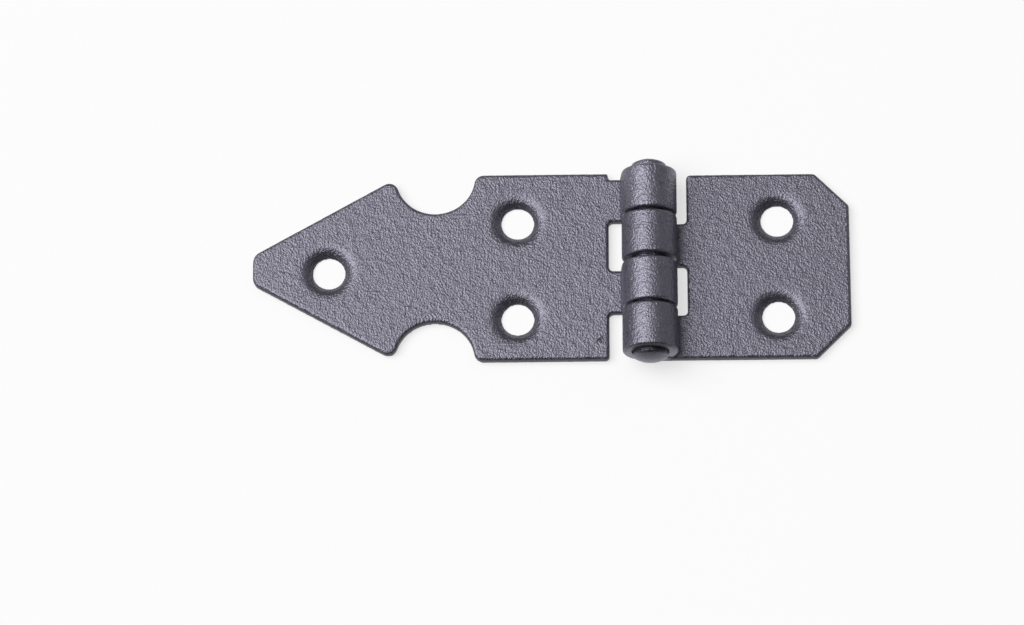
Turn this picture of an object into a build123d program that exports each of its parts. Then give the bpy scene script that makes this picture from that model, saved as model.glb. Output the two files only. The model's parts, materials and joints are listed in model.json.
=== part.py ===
from build123d import *
from math import cos, radians, sin, tan
import os

os.makedirs("parts", exist_ok=True)

# A flat decorative hinge lying open on its back faces: an arrow-headed strap leaf towards -X,
# a short leaf towards +X, and the pin along Y. Sizes in millimetres, angles in degrees.

# Leaves
strap_reach = 46.5  # barrel to the tip of the arrow
short_reach = 21.7  # barrel to the free end of the short leaf
leaf_width = 24.5  # the short leaf; the strap leaf stands further past the barrel
sheet = 1.2
front_round = 0.4  # rounding that blanking leaves along the front edges
corner_round = 0.5  # corners of the blanks in plan

# Arrow head, measured from its tip
tip_flat = 3.8
tip_round = 1.5
arrow_slope = 29.6
notch_from_tip = 23.0
notch_radius = 5.0
notch_depth = 5.15  # from the long edge, so the notches are a little deeper than half round
notch_round = 1.2

# Short leaf
end_chamfer = 4.3

# Screw holes
hole_radius = 2.0
sink_radius = 3.0
sink_angle = 90
sink_break = 0.35  # the countersinks are dished towards their rims
tip_hole_from_tip = 9.6
strap_holes_from_pin = 16.6
short_holes_from_pin = 16.1
hole_spacing = 12.8

# Barrel, with knuckles of the strap leaf and the short leaf in turn along the pin
barrel_radius = 3.5
strap_overhang = 0.8  # upper edge of the strap leaf past the barrel; the lower edges are flush
short_overhang = 0.5
overhang_run = 0.1  # slope of the step from the overhang to the outer knuckle
step_round = 0.15
outer_joint = 6.1  # middle of the barrel to the joint between an outer and an inner knuckle
outer_gap = 0.3
middle_gap = 0.5
knuckle_break = 0.2  # the knuckles' outer corners are broken by this much
strap_curl = 265
short_curl = 290
seam_gap = 0.25  # free end of a curl to the face of its leaf
strap_clearance = 1.6  # barrel to the strap leaf, beside the other leaf's knuckles
short_clearance = 1.2  # barrel to the short leaf, beside the other leaf's knuckles

# Pin
pin_clearance = 0.05
lower_stand_out = 0.5  # the pin's shank past the barrel's ends
upper_stand_out = 0.85
crown_rise = 0.7

# The barrel rests on the back plane. The hinge is centred on X, and the pin is centred on Y,
# so the barrel stands a little below the middle.
bore_radius = barrel_radius - sheet
pin_radius = bore_radius - pin_clearance
pin_x = (strap_reach - short_reach) / 2
barrel_y = (lower_stand_out - upper_stand_out) / 2
barrel_centre = Vector(pin_x, barrel_y, barrel_radius)
foot = Plane(origin=(pin_x, barrel_y, 0))
barrel_half = (leaf_width - short_overhang) / 2
strap_top = barrel_half + strap_overhang
short_top = barrel_half + short_overhang
tip_x = -barrel_radius - strap_reach
end_x = barrel_radius + short_reach
strap_edge = barrel_radius + strap_clearance
short_edge = barrel_radius + short_clearance

# Lower and upper end of each knuckle of the strap leaf along the pin, the outer one first.
# The short leaf's barrel side is the same pattern turned half round.
strap_knuckles = [
    (outer_joint + outer_gap / 2, barrel_half),
    (-outer_joint + outer_gap / 2, -middle_gap / 2),
]


def barrel_side(edge, side, far_edge):
    """Corners of a blank beside the barrel, each with its radius, from its outer knuckle inwards.

    The tabs of the knuckles run to the foot of the barrel. Side is 1 for the strap leaf and -1
    for the short leaf, and the far edge is the long edge away from the outer knuckle.
    """
    corners = [
        (0, barrel_half, 0),
        (0, strap_knuckles[0][0], 0),
        (-edge, strap_knuckles[0][0], corner_round),
        (-edge, strap_knuckles[1][1], corner_round),
        (0, strap_knuckles[1][1], 0),
        (0, strap_knuckles[1][0], 0),
        (-edge, strap_knuckles[1][0], corner_round),
        (-edge, -far_edge, corner_round),
    ]
    return [(side * x, side * y, radius) for x, y, radius in corners]


def outline(corners):
    """Closed outline through corners of x, y and radius."""
    FilletPolyline(
        [(x, y) for x, y, _ in corners], radius=[radius for _, _, radius in corners], close=True
    )


def round_front(blank):
    """Rounds a blank's front edges, apart from the ends of its tabs at the foot of the barrel."""
    edges = blank.faces().sort_by(Axis.Z)[-1].outer_wire().edges()
    fillet(edges.filter_by(lambda edge: abs(edge.center().X - pin_x) > corner_round), front_round)


def screw_holes(places):
    """Countersunk holes in a blank's front face."""
    with Locations([foot.offset(sheet) * Pos(x, y) for x, y in places]):
        CounterSinkHole(hole_radius, sink_radius, depth=sheet, counter_sink_angle=sink_angle)


def break_rims(blank):
    """Breaks the sharp rims of the countersinks."""
    front = blank.faces().filter_by(Axis.Z).sort_by(Axis.Z)[-1]
    chamfer(ShapeList(wire.edges()[0] for wire in front.inner_wires()), sink_break)


def strip_plane(side, turn):
    """Plane square to a strip that has turned round the pin: origin on its outer face, Y inwards."""
    outwards = Vector(side * sin(radians(turn)), 0, -cos(radians(turn)))
    onwards = Vector(side * cos(radians(turn)), 0, sin(radians(turn)))
    return Plane(barrel_centre + outwards * barrel_radius, (0, side, 0), onwards)


def lip_length(curl):
    """Straight run after a curl: its square end stops the seam gap short of the leaf's face."""
    rise = -cos(radians(curl))
    lowest_corner = barrel_radius + min(rise * barrel_radius, rise * bore_radius)
    return (lowest_corner - sheet - seam_gap) / -sin(radians(curl))


def roll_knuckles(side, curl):
    """Rolls the strips of a leaf's tabs round the pin from their feet, and ends each in a lip."""
    for lower, upper in strap_knuckles:
        with BuildSketch(strip_plane(side, 0), strip_plane(side, curl)) as strip:
            with Locations(((lower + upper) / 2, sheet / 2)):
                Rectangle(upper - lower, sheet)
            chamfer(strip.vertices().group_by(Axis.Y)[0], knuckle_break)
        at_foot, at_lip = strip.sketch.faces()
        revolve(at_foot, axis=Axis(barrel_centre, (0, -side, 0)), revolution_arc=curl)
        extrude(at_lip, amount=lip_length(curl))


# Strap leaf: the arrow's slopes run on into the notches, which cut them off
notch_x = tip_x + notch_from_tip
strap_middle = (strap_top - barrel_half) / 2
strap_half = (strap_top + barrel_half) / 2
notch_y = strap_half - notch_depth + notch_radius
arrow_y = tip_flat / 2 + notch_from_tip * tan(radians(arrow_slope))
arrow_head = [
    (notch_x, -barrel_half, 0),
    (notch_x, strap_middle - arrow_y, 0),
    (tip_x, strap_middle - tip_flat / 2, tip_round),
    (tip_x, strap_middle + tip_flat / 2, tip_round),
    (notch_x, strap_middle + arrow_y, 0),
    (notch_x, strap_top, 0),
    (-strap_edge - overhang_run, strap_top, step_round),
    (-strap_edge, barrel_half, step_round),
]
with BuildPart() as strap_leaf:
    with BuildSketch(foot) as strap_blank:
        with BuildLine():
            outline(barrel_side(strap_edge, 1, barrel_half) + arrow_head)
        make_face()
        with Locations((notch_x, strap_middle + notch_y), (notch_x, strap_middle - notch_y)):
            Circle(notch_radius, mode=Mode.SUBTRACT)
        notch_corners = strap_blank.vertices().filter_by(
            lambda corner: abs(abs(corner.X - notch_x) - notch_radius) < notch_round / 2
        )
        fillet(notch_corners, notch_round)
    extrude(amount=sheet)
    round_front(strap_leaf)
    screw_holes(
        [
            (tip_x + tip_hole_from_tip, 0),
            (-strap_holes_from_pin, hole_spacing / 2),
            (-strap_holes_from_pin, -hole_spacing / 2),
        ]
    )
    break_rims(strap_leaf)
    roll_knuckles(1, strap_curl)

# Short leaf: its free end is square with both corners cut off
free_end = [
    (end_x - end_chamfer, short_top, corner_round),
    (end_x, short_top - end_chamfer, corner_round),
    (end_x, -barrel_half + end_chamfer, corner_round),
    (end_x - end_chamfer, -barrel_half, corner_round),
]
with BuildPart() as short_leaf:
    with BuildSketch(foot):
        with BuildLine():
            outline(barrel_side(short_edge, -1, short_top) + free_end)
        make_face()
    extrude(amount=sheet)
    round_front(short_leaf)
    screw_holes(
        [
            (short_holes_from_pin, hole_spacing / 2),
            (short_holes_from_pin, -hole_spacing / 2),
        ]
    )
    break_rims(short_leaf)
    roll_knuckles(-1, short_curl)

# Pin: a straight shank with a low crown on each end
shank_half = barrel_half + (lower_stand_out + upper_stand_out) / 2
crown_top = shank_half + crown_rise
with BuildPart() as hinge_pin:
    with BuildSketch(Plane(origin=(pin_x, 0, barrel_radius))):
        with BuildLine():
            Line((pin_radius, 0), (pin_radius, shank_half))
            TangentArc((0, crown_top), (pin_radius, shank_half), tangent=(1, 0))
            mirror(about=Plane.XZ)
            Line((0, crown_top), (0, -crown_top))
        make_face()
    revolve(axis=Axis(barrel_centre, (0, 1, 0)))

for name, piece in (("strap_leaf", strap_leaf), ("short_leaf", short_leaf), ("hinge_pin", hinge_pin)):
    piece.part.label = name
    export_step(piece.part, f"parts/{name}.step")
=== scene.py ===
import json
from functools import reduce
from math import cos, radians, sin

import bmesh
import bpy
from mathutils import Matrix, Vector


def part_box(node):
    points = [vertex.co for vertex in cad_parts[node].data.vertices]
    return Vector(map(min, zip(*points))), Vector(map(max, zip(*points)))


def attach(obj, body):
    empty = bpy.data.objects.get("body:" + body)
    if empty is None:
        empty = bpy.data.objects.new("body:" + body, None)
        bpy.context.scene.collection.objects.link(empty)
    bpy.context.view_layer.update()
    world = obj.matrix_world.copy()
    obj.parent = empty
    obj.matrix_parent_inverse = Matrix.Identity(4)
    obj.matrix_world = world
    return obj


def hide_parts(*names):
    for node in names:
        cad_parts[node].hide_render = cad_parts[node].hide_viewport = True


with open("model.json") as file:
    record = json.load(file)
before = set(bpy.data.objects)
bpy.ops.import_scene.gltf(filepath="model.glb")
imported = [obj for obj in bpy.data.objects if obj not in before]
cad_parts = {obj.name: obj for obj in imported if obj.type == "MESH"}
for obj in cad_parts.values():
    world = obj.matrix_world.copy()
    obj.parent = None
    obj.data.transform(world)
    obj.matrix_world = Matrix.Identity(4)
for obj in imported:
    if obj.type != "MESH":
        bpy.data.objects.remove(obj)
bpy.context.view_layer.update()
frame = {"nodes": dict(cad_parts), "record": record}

MM = 0.001

# The hinge lies open on a white table, with a hammered coat on each of its three pieces

# Camera, for the photograph's frame
picture_width = 1024
picture_scale = 7.96  # pixels a millimetre at the hinge
camera_distance = 600 * MM
camera_tilt = 19.2  # degrees off the leaves' normal, towards -Y
camera_turn = 1.57  # degrees towards +X
camera_roll = -0.07
camera_aim = Vector((-4.95, -5.50, 0)) * MM
sensor_width = 36
near_clip = 0.01

# Barrel, from the frame
pin_low, pin_high = (Vector(corner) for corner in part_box("hinge_pin"))
strap_high = Vector(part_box("strap_leaf")[1])
pin_axis = (pin_low + pin_high) / 2
pin_radius = (pin_high.x - pin_low.x) / 2
barrel_radius = strap_high.z / 2

# Countersinks, dished from near their holes to past their rims
dish_start = 2.35 * MM
dish_end = 4.3 * MM
dish_fade = 0.2 * MM
dish_passes = 26

# Skin of the coat, on every piece
merge_reach = 0.001 * MM
voxel = 0.15 * MM  # small enough to keep the seams of the rolls open
softening_passes = 2
softening = 0.5
thinning = 0.85  # share of the skin's faces that stays
relief_height = 0.05 * MM  # over the whole range of its noise
relief_grain = 0.62 * MM
relief_top = 0.75  # noise at the CAD surface, which the relief only goes below
coat_seed = 7.0

# Finish of the coat. In each pair the noise starts to show at the first number and is full at the second.
coat_dark = (0.231, 0.224, 0.275, 1)
coat_light = (0.306, 0.296, 0.364, 1)
black = (0, 0, 0, 1)
coat_metallic = 0.9
coat_roughness = 0.41
fleck_gloss = 0.06  # taken off the roughness on the flecks
grain_size = 0.29 * MM
grain_draw = (1.25, 1, 1)  # the grain is finer along the hinge
grain_height = 0.115 * MM
fleck_noise = (0.2727, 0.7273)
fleck_share = 0.7  # of the colour's change, the rest being a slow drift
drift_size = 14 * MM
pit_size = 0.9 * MM
pit_share = 0.6
speck_size = 1.1 * MM
speck_noise = (0.70, 0.75)
speck_shade = 0.3

# Scratch in the strap leaf's front: strokes from x, y to x, y in millimetres
scratch_strokes = [
    ((6.22, -9.05), (6.39, -9.43)),
    ((6.07, -9.46), (5.72, -9.83)),
    ((6.12, -9.52), (6.27, -10.0)),
]
scratch_edge = (0.195 * MM, 0.065 * MM)  # from a stroke's line, where it starts to show and is full
scratch_height = (0.6 * MM, 0.9 * MM)  # above the back face
scratch_shade = 0.75

# Painted light and shade in the coat's colour, from where each starts to where it is full
# Painted light: the barrel's coat is made lighter than the leaves' coat, to strengthen its highlight
barrel_reach = (barrel_radius + 0.3 * MM, barrel_radius)
barrel_painted_light = 0.1
# Painted shade: the leaves' steep edges and the countersinks' walls are darkened
steep_normal = (0.84, 0.44)  # Z of the normal on the leaves' edges and in the countersinks
steep_painted_shade = 0.62
# Painted light: the knuckles' end faces are made lighter, standing in for the white table that they reflect
facing_normal = (0.3, 0.7)  # Y of the normal on the knuckles' ends
facing_painted_light = 0.18
# Painted shade: at the barrel's lower end, the pin's end and the knuckle's end face are darker towards their
# top
pin_reach = (pin_radius + 0.03 * MM, pin_radius + 0.01 * MM)
low_end = (pin_low.y + 1.9 * MM, pin_low.y + 1.6 * MM)
low_end_height = (-0.2, 0.6)  # above the pin's axis, in barrel radii
low_end_painted_shade = 0.7

# Table and softbox, in metres, degrees and watts
table_half = 3.0
table_white = (0.98, 0.98, 0.98, 1)
table_glow = 0.65  # share of plain white that the camera sees, over the table's own shading
softbox_azimuth = 174
softbox_elevation = 59
softbox_distance = 3.0
softbox_size = (2.8, 3.0)
softbox_power = 101

# Dim room around the hinge, and the parts of a direction over which its colours change
low_left_room = (0.04, 0.039, 0.04, 1)
low_right_room = (0.30, 0.295, 0.30, 1)
high_left_room = (0.25, 0.245, 0.25, 1)
high_right_room = (0.50, 0.49, 0.50, 1)
front_room = (0.05, 0.049, 0.05, 1)
back_room = (0.10, 0.098, 0.10, 1)
low_across = (-0.5, 0.5)
high_across = (-0.714, 0.714)
upwards = (0.05, 0.638)
front_slant = 0.35  # the front starts further forwards on the left
to_front = (-0.125, 0.5)
to_back = (0.45, 0.85)

# Each piece's CAD node, its body, and the tone of its coat
coated_pieces = {
    "coated_strap_leaf": ("strap_leaf", "strap", 0.66),
    "coated_short_leaf": ("short_leaf", "short", 0.63),
    "coated_hinge_pin": ("hinge_pin", "strap", 0.655),
}


class Value:
    """A socket in an expression: each operator adds a Math node after it."""

    def __init__(self, graph, socket):
        self.graph = graph
        self.socket = socket

    def other(self, name):
        """Another output of the same node."""
        return Value(self.graph, self.socket.node.outputs[name])

    def math(self, operation, *numbers):
        """A Math node of some operation on one or two numbers."""
        return self.graph.add("ShaderNodeMath", {"operation": operation}, dict(enumerate(numbers)))

    def __add__(self, other):
        return self.math("ADD", self, other)

    def __radd__(self, other):
        return self.math("ADD", other, self)

    def __sub__(self, other):
        return self.math("SUBTRACT", self, other)

    def __rsub__(self, other):
        return self.math("SUBTRACT", other, self)

    def __mul__(self, other):
        return self.math("MULTIPLY", self, other)

    def __rmul__(self, other):
        return self.math("MULTIPLY", other, self)

    def __truediv__(self, other):
        return self.math("DIVIDE", self, other)

    def __rtruediv__(self, other):
        return self.math("DIVIDE", other, self)

    def __pow__(self, other):
        return self.math("POWER", self, other)

    def __abs__(self):
        return self.math("ABSOLUTE", self)

    def least(self, other):
        """The smaller of this and another number."""
        return self.math("MINIMUM", self, other)


class Graph:
    """A node tree that is written as expressions."""

    def __init__(self, tree):
        self.tree = tree

    def add(self, kind, settings=None, inputs=None, output=0):
        """Adds a node with its settings, then its inputs, and returns one of its outputs, if it has any."""
        node = self.tree.nodes.new(kind)
        for name, setting in (settings or {}).items():
            setattr(node, name, setting)
        for name, given in (inputs or {}).items():
            if isinstance(given, Value):
                self.tree.links.new(given.socket, node.inputs[name])
            else:
                node.inputs[name].default_value = given
        if node.outputs:
            return Value(self, node.outputs[output])

    def parts(self, vector):
        """X, Y and Z of a vector."""
        x = self.add("ShaderNodeSeparateXYZ", inputs={"Vector": vector}, output="X")
        return x, x.other("Y"), x.other("Z")

    def noise(self, place, size, detail):
        """Noise whose waves are of some size."""
        return self.add("ShaderNodeTexNoise", inputs={"Vector": place, "Scale": 1 / size, "Detail": detail})

    def clamp(self, number):
        """A number kept from 0 to 1."""
        return self.add("ShaderNodeClamp", inputs={"Value": number})

    def between(self, number, start, end):
        """0 at a start, 1 at an end, straight between them and level beyond."""
        return self.clamp((number - start) / (end - start))

    def mix_colour(self, factor, first, second):
        """Colour between two others, by a Mix node's colour sockets."""
        colours = {"Factor": factor, 6: first, 7: second}
        return self.add("ShaderNodeMix", {"data_type": "RGBA"}, colours, output=2)


def length(along, aside):
    """Distance that two distances at right angles make."""
    return (along ** 2 + aside ** 2) ** 0.5


def new_material(name):
    """An empty node material and its graph."""
    material = bpy.data.materials.new(name)
    material.use_nodes = True
    material.node_tree.nodes.clear()
    return material, Graph(material.node_tree)


def hammered_coat():
    """Dark violet grey hammered coat: a fine wrinkled grain that catches the light in flecks."""
    material, graph = new_material("hammered_coat")
    place = graph.add("ShaderNodeTexCoord", output="Object")
    drawn = graph.add("ShaderNodeVectorMath", {"operation": "MULTIPLY"}, {0: place, 1: grain_draw})
    grain = graph.noise(drawn, grain_size, detail=2)
    pits = graph.noise(place, pit_size, detail=1)
    drift = graph.noise(place, drift_size, detail=2)
    speck = graph.between(graph.noise(place, speck_size, detail=1), *speck_noise)
    fleck = graph.between(grain, *fleck_noise)
    tone = graph.clamp(fleck * fleck_share + drift * (1 - fleck_share))
    # The stored share is the piece's tone with painted light and shade; the specks and the scratch then
    # darken it
    tone_and_painted_light = graph.add("ShaderNodeAttribute", {"attribute_name": "tone_and_painted_light"}, output="Fac")
    kept = tone_and_painted_light * (1 - speck * speck_shade) * (1 - scratch_of(graph, place) * scratch_shade)
    height = grain + pits * pit_share
    coat = graph.add("ShaderNodeBsdfPrincipled", inputs={
        "Base Color": graph.mix_colour(kept, black, graph.mix_colour(tone, coat_dark, coat_light)),
        "Roughness": coat_roughness - fleck * fleck_gloss,
        "Metallic": coat_metallic,
        "Normal": graph.add("ShaderNodeBump", inputs={"Height": height, "Distance": grain_height}),
    })
    graph.add("ShaderNodeOutputMaterial", inputs={"Surface": coat})
    return material


def scratch_of(graph, place):
    """1 in the strokes of the scratch, and 0 elsewhere."""
    x, y, z = graph.parts(place)
    from_strokes = []
    for stroke in scratch_strokes:
        start, end = (Vector(point) * MM for point in stroke)
        run = end - start
        along = graph.clamp(((x - start.x) * run.x + (y - start.y) * run.y) / run.length_squared)
        from_strokes.append(length(x - start.x - along * run.x, y - start.y - along * run.y))
    in_stroke = graph.between(reduce(Value.least, from_strokes), *scratch_edge)
    return in_stroke * graph.between(z, *scratch_height)


def white_table():
    """White where the camera, gloss and glass see it, with the hinge's own soft shadow kept."""
    material, graph = new_material("white_table")
    camera = graph.add("ShaderNodeLightPath", output="Is Camera Ray")
    seen = graph.clamp(camera + camera.other("Is Glossy Ray") + camera.other("Is Transmission Ray"))
    paper = graph.add("ShaderNodeBsdfDiffuse", inputs={"Color": table_white})
    glow = graph.add("ShaderNodeEmission", inputs={"Strength": 1})
    both = graph.add("ShaderNodeMixShader", inputs={0: seen * table_glow, 1: paper, 2: glow})
    graph.add("ShaderNodeOutputMaterial", inputs={"Surface": both})
    return material


def screw_holes():
    """Middle of each screw hole, from the mounts in the record."""
    middles = []
    for mount in frame["record"]["mounts"]:
        middle = Vector(mount["pos_m"])
        if mount["kind"] == "bolt_pattern":
            apart = Vector((0, mount["dims"]["spacing_y_mm"] * MM / 2, 0))
            middles += [middle - apart, middle + apart]
        elif mount["kind"] == "bore":
            middles.append(middle)
    return middles


def dish_of(graph, place, start, end, fade):
    """1 where a countersink's rim is, and 0 elsewhere."""
    x, y, _ = graph.parts(place)
    from_hole = reduce(Value.least, [length(x - hole.x, y - hole.y) for hole in screw_holes()])
    return graph.clamp((from_hole - start) / fade) * graph.clamp((end - from_hole) / fade)


def painted_light_and_shade_of(graph, place, normal):
    """Share of the coat's tone, with painted shade on the leaves' edges, in the countersinks and at the
    barrel's lower end, and painted light on the barrel and on the knuckles' ends."""
    x, y, z = graph.parts(place)
    _, along, up = graph.parts(normal)
    reach = length(x - pin_axis.x, z - pin_axis.z)
    on_barrel = graph.between(reach, *barrel_reach)
    on_pin = graph.between(reach, *pin_reach)
    facing = graph.between(abs(along), *facing_normal) * on_barrel
    steep = graph.between(abs(up), *steep_normal) * (1 - on_barrel)
    height = graph.between((z - pin_axis.z) / barrel_radius, *low_end_height)
    # Painted shade at the barrel's lower end, darker towards the top
    painted_end_shade = graph.clamp(facing + on_pin) * graph.between(y, *low_end) * height
    # Painted light on the barrel and on the knuckles' end faces
    painted_brightening = 1 + on_barrel * barrel_painted_light + facing * facing_painted_light
    return (1 - steep * steep_painted_shade) * painted_brightening * (1 - painted_end_shade * low_end_painted_shade)


def coat_relief_tree():
    """Geometry nodes that dish the countersinks, store the tone with its painted light and shade, and press
    the relief inwards.
    """
    tree = bpy.data.node_groups.new("coat_relief", "GeometryNodeTree")
    tree.interface.new_socket("Geometry", in_out="INPUT", socket_type="NodeSocketGeometry")
    for name in ("Dish start", "Dish end", "Dish fade", "Relief height", "Relief grain", "Seed", "Tone"):
        tree.interface.new_socket(name, in_out="INPUT", socket_type="NodeSocketFloat")
    tree.interface.new_socket("Dish passes", in_out="INPUT", socket_type="NodeSocketInt")
    tree.interface.new_socket("Coat", in_out="INPUT", socket_type="NodeSocketMaterial")
    tree.interface.new_socket("Geometry", in_out="OUTPUT", socket_type="NodeSocketGeometry")
    graph = Graph(tree)
    given = graph.add("NodeGroupInput", output="Geometry")
    place = graph.add("GeometryNodeInputPosition")
    normal = graph.add("GeometryNodeInputNormal")
    rims = dish_of(graph, place, *(given.other(name) for name in ("Dish start", "Dish end", "Dish fade")))
    dished = graph.add("GeometryNodeBlurAttribute", {"data_type": "FLOAT_VECTOR"}, {
        "Value": place, "Iterations": given.other("Dish passes"), "Weight": rims})
    sunk = graph.add("GeometryNodeSetPosition", inputs={"Geometry": given, "Position": dished})
    # The piece's tone with painted light and shade, stored on the points for the coat
    tone_and_painted_light = painted_light_and_shade_of(graph, place, normal) * given.other("Tone")
    toned = graph.add("GeometryNodeStoreNamedAttribute", {"data_type": "FLOAT", "domain": "POINT"}, {
        "Geometry": sunk, "Name": "tone_and_painted_light", "Value": tone_and_painted_light})
    noise = graph.add("ShaderNodeTexNoise", {"noise_dimensions": "4D"}, {
        "Vector": place, "W": given.other("Seed"), "Scale": 1 / given.other("Relief grain"), "Detail": 1})
    depth = (noise - relief_top).least(0) * given.other("Relief height")
    push = graph.add("ShaderNodeVectorMath", {"operation": "SCALE"}, {0: normal, "Scale": depth})
    moved = graph.add("GeometryNodeSetPosition", inputs={"Geometry": toned, "Offset": push})
    smooth = graph.add("GeometryNodeSetShadeSmooth", inputs={"Geometry": moved, "Shade Smooth": True})
    real = graph.add("GeometryNodeRealizeInstances", inputs={"Geometry": smooth})
    coated = graph.add("GeometryNodeSetMaterial", inputs={"Geometry": real, "Material": given.other("Coat")})
    graph.add("NodeGroupOutput", inputs={"Geometry": coated})
    return tree


def merged_copy(node, name):
    """The CAD node's shape as one closed mesh of a new object."""
    mesh = frame["nodes"][node].data.copy()
    mesh.name = name
    shape = bmesh.new()
    shape.from_mesh(mesh)
    bmesh.ops.remove_doubles(shape, verts=shape.verts, dist=merge_reach)
    shape.to_mesh(mesh)
    shape.free()
    piece = bpy.data.objects.new(name, mesh)
    bpy.context.scene.collection.objects.link(piece)
    return piece


def set_inputs(modifier, values):
    """Sets a geometry nodes modifier's inputs by the identifiers of the sockets with these names."""
    for item in modifier.node_group.interface.items_tree:
        if item.in_out == "INPUT" and item.name in values:
            modifier[item.identifier] = values[item.name]


def coat_piece(name, node, body, tone, tree, coat):
    """One coated piece: the CAD node's shape with soft edges and the coat's relief."""
    piece = merged_copy(node, name)
    even = piece.modifiers.new("even_skin", "REMESH")
    even.mode = "VOXEL"
    even.voxel_size = voxel
    even.use_smooth_shade = True
    soft = piece.modifiers.new("soft_edges", "SMOOTH")
    soft.factor = softening
    soft.iterations = softening_passes
    relief = piece.modifiers.new("relief", "NODES")
    relief.node_group = tree
    set_inputs(relief, {
        "Dish start": dish_start,
        "Dish end": dish_end,
        "Dish fade": dish_fade,
        "Dish passes": dish_passes,
        "Relief height": relief_height,
        "Relief grain": relief_grain,
        "Seed": coat_seed,
        "Tone": tone,
        "Coat": coat,
    })
    thinner = piece.modifiers.new("thinner", "DECIMATE")
    thinner.ratio = thinning
    shaped = piece.evaluated_get(bpy.context.evaluated_depsgraph_get())
    skin = bpy.data.meshes.new_from_object(shaped)
    piece.modifiers.clear()
    piece.data = skin
    skin.name = name
    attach(piece, body)
    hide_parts(node)


def lay_table():
    """White table under the hinge."""
    corners = [(x * table_half, y * table_half, 0) for x, y in ((-1, -1), (1, -1), (1, 1), (-1, 1))]
    mesh = bpy.data.meshes.new("table")
    mesh.from_pydata(corners, [], [(0, 1, 2, 3)])
    mesh.materials.append(white_table())
    table = bpy.data.objects.new("table", mesh)
    bpy.context.scene.collection.objects.link(table)


def stand(name, data, place, back, roll=0):
    """Adds a camera or a lamp at a place, looking away from back, level along X before its roll."""
    level = Vector((0, 1, 0)).cross(back).normalized()
    upright = back.cross(level)
    right = level * cos(roll) + upright * sin(roll)
    up = upright * cos(roll) - level * sin(roll)
    thing = bpy.data.objects.new(name, data)
    thing.matrix_world = Matrix.Translation(place) @ Matrix((right, up, back)).transposed().to_4x4()
    bpy.context.scene.collection.objects.link(thing)
    return thing


def hang_softbox():
    """One large softbox high on the left."""
    softbox = bpy.data.lights.new("left_softbox", "AREA")
    softbox.shape = "RECTANGLE"
    softbox.size, softbox.size_y = softbox_size
    softbox.energy = softbox_power
    turn, rise = radians(softbox_azimuth), radians(softbox_elevation)
    away = Vector((cos(turn) * cos(rise), sin(turn) * cos(rise), sin(rise)))
    stand("left_softbox", softbox, away * softbox_distance, away)


def dim_room():
    """World that is dim in front and behind, and lighter above and on the right."""
    world = bpy.data.worlds.new("dim_room")
    world.use_nodes = True
    world.node_tree.nodes.clear()
    graph = Graph(world.node_tree)
    across, backwards, rise = graph.parts(graph.add("ShaderNodeTexCoord", output="Generated"))
    low_room = graph.mix_colour(graph.between(across, *low_across), low_left_room, low_right_room)
    high_room = graph.mix_colour(graph.between(across, *high_across), high_left_room, high_right_room)
    sides = graph.mix_colour(graph.between(rise, *upwards), low_room, high_room)
    in_front = graph.between(across * front_slant - backwards, *to_front)
    room = graph.mix_colour(in_front, sides, front_room)
    room = graph.mix_colour(graph.between(backwards, *to_back), room, back_room)
    light = graph.add("ShaderNodeBackground", inputs={"Color": room, "Strength": 1})
    graph.add("ShaderNodeOutputWorld", inputs={"Surface": light})
    bpy.context.scene.world = world


def place_camera():
    """Camera at the photograph's angle."""
    tilt, turn = radians(camera_tilt), radians(camera_turn)
    back = Vector((sin(turn), -sin(tilt) * cos(turn), cos(tilt) * cos(turn))).normalized()
    data = bpy.data.cameras.new("camera")
    data.sensor_width = sensor_width
    data.lens = picture_scale / MM * camera_distance / picture_width * sensor_width
    data.clip_start = near_clip
    place = camera_aim + back * camera_distance
    bpy.context.scene.camera = stand("camera", data, place, back, radians(camera_roll))


place_camera()
hang_softbox()
dim_room()
lay_table()
coat = hammered_coat()
relief_tree = coat_relief_tree()
for name, (node, body, tone) in coated_pieces.items():
    coat_piece(name, node, body, tone, relief_tree, coat)
bpy.context.scene.view_settings.view_transform = "Standard"

bpy.context.view_layer.update()
